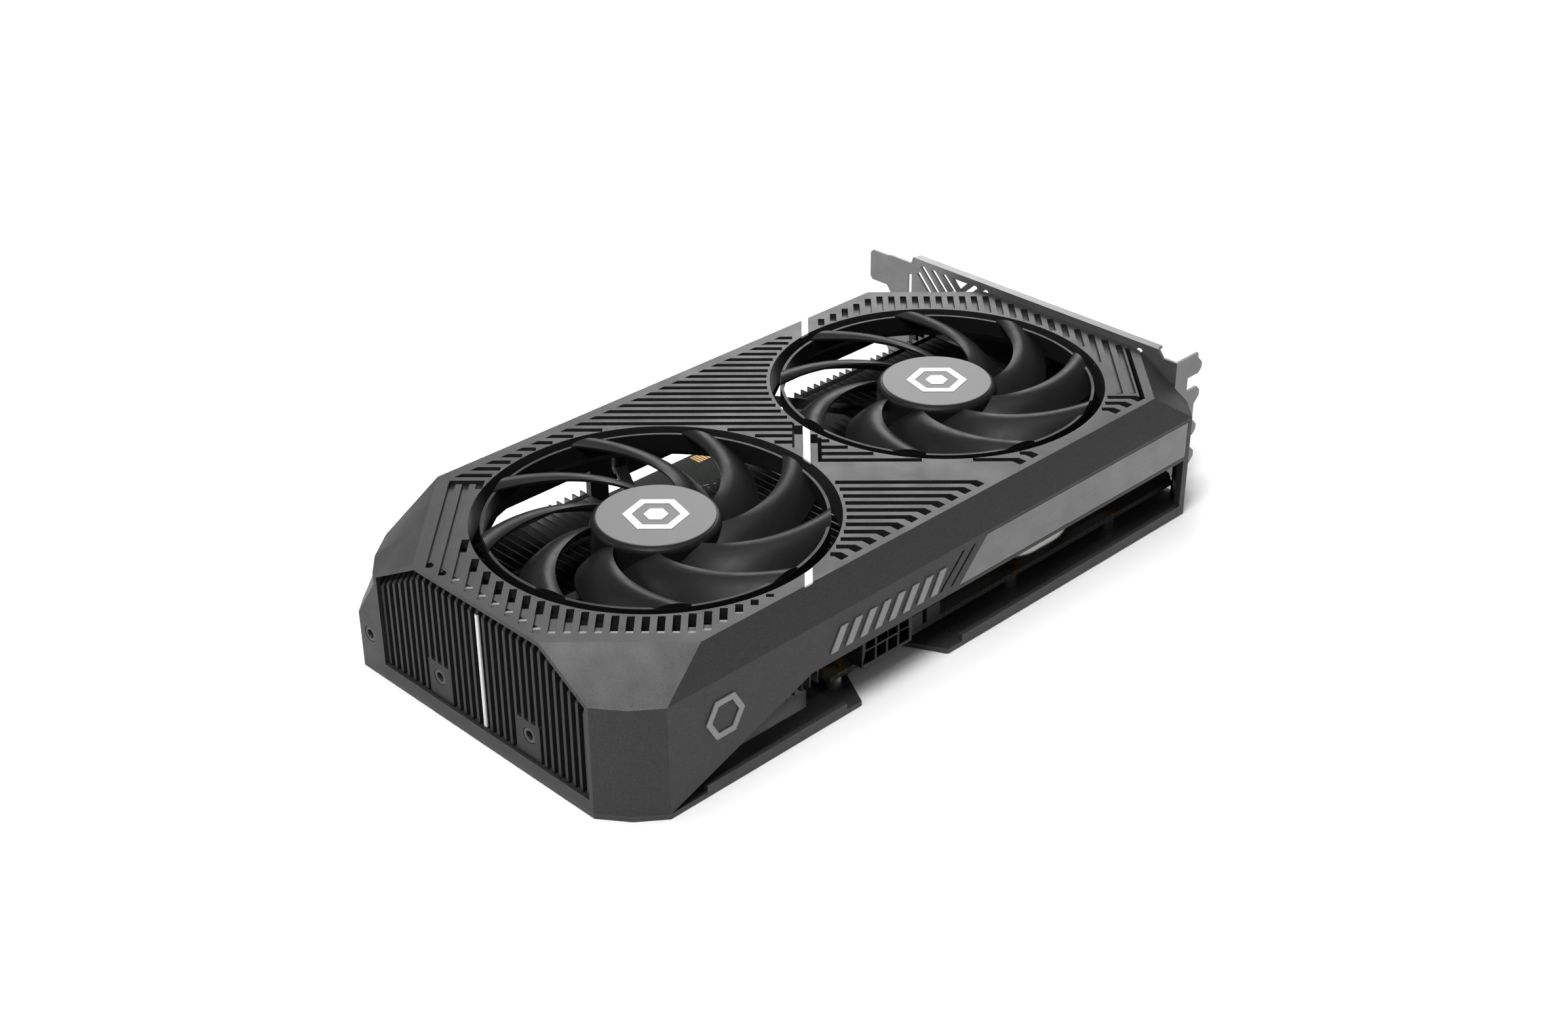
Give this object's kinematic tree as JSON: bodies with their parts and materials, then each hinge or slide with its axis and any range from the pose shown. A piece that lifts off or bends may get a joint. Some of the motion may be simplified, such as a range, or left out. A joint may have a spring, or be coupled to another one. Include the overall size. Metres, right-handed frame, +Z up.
{
  "type": "graphics card",
  "caption": "Two-slot graphics card with two axial fans, slotted shroud, finned cooler with heat pipes, backplate and slot bracket.",
  "frame": {"origin": "underside of the backplate, midway between the two fan axes", "axes": "+X along the card towards the slot bracket, +Y towards the slot connector, +Z up out of the fans"},
  "size_m": [0.2337, 0.1324, 0.0439],
  "materials": {
    "shroud_plastic": "fine sand texture, matte",
    "white_inlay": "satin white",
    "brushed_trim": "brushed lengthways, dark anodised",
    "badge_metal": "satin grey paint",
    "steel_black": "black oxide",
    "backplate_black": "fine powder coat",
    "board_black": "black solder mask",
    "gold": "gold plated",
    "nickel": "nickel plated",
    "silicon": "polished silicon",
    "chip_black": "moulded epoxy",
    "thermal_pad": "soft silicone",
    "ferrite": "sintered ferrite",
    "capacitor_can": "drawn can",
    "header_black": "moulded nylon",
    "copper": "bare copper",
    "fin_aluminium": "bare sheet",
    "bracket_steel": "satin nickel on steel",
    "fan_plastic": "satin moulded",
    "hub_disc_grey": "satin silver-grey film",
    "shaft_steel": "ground steel",
    "brass_bush": "sintered bronze",
    "core_steel": "laminated steel",
    "motor_plastic": "moulded",
    "lead_black": "insulated lead"
  },
  "bodies": {
    "card": {"accent_fin": "white_inlay", "accent_stripe": "white_inlay", "backplate": "backplate_black", "backplate_screws": "steel_black", "board_standoffs": "nickel", "bracket_bearing_sleeve": "brass_bush", "bracket_fan_lead": "lead_black", "bracket_motor_base": "motor_plastic", "bracket_screws": "nickel", "bracket_stator_core": "core_steel", "bracket_stator_windings": "copper", "capacitors": "capacitor_can", "circuit_board": "board_black", "cold_plate": "copper", "cooler_strap": "fin_aluminium", "corner_badge": "badge_metal", "displayport_shells": "nickel", "edge_contacts": "gold", "end_grille": "shroud_plastic", "fan_headers": "header_black", "fan_screws": "steel_black", "fan_shroud": "shroud_plastic", "front_heat_pipe": "nickel", "gpu_die": "silicon", "gpu_package": "board_black", "hdmi_shell": "nickel", "heat_pipes": "nickel", "main_fin_stack": "fin_aluminium", "memory_chips": "chip_black", "memory_thermal_pads": "thermal_pad", "port_tongues": "chip_black", "power_chokes": "ferrite", "power_header": "header_black", "power_header_pins": "gold", "power_stage_pads": "thermal_pad", "power_stage_plate": "fin_aluminium", "power_stages": "chip_black", "retention_screws": "steel_black", "retention_springs": "nickel", "screw_pads": "gold", "side_bars": "badge_metal", "side_trim_plate": "brushed_trim", "slot_bracket": "bracket_steel", "tail_bearing_sleeve": "brass_bush", "tail_fan_lead": "lead_black", "tail_fin_stack": "fin_aluminium", "tail_motor_base": "motor_plastic", "tail_stator_core": "core_steel", "tail_stator_windings": "copper", "threaded_inserts": "steel_black"},
    "tail_fan": {"tail_fan_rotor": "fan_plastic", "tail_hub_disc": "hub_disc_grey", "tail_hub_emblem": "white_inlay", "tail_magnet_ring": "ferrite", "tail_fan_shaft": "shaft_steel"},
    "bracket_fan": {"bracket_fan_rotor": "fan_plastic", "bracket_hub_disc": "hub_disc_grey", "bracket_hub_emblem": "white_inlay", "bracket_magnet_ring": "ferrite", "bracket_fan_shaft": "shaft_steel"}
  },
  "joints": [
    {"name": "tail_fan_spin", "type": "hinge", "parent": "card", "child": "tail_fan", "pos_m": [-0.05335, 0, 0.035], "axis": [0, 0, 1], "continuous": true},
    {"name": "bracket_fan_spin", "type": "hinge", "parent": "card", "child": "bracket_fan", "pos_m": [0.05335, 0, 0.035], "axis": [0, 0, 1], "continuous": true}
  ]
}
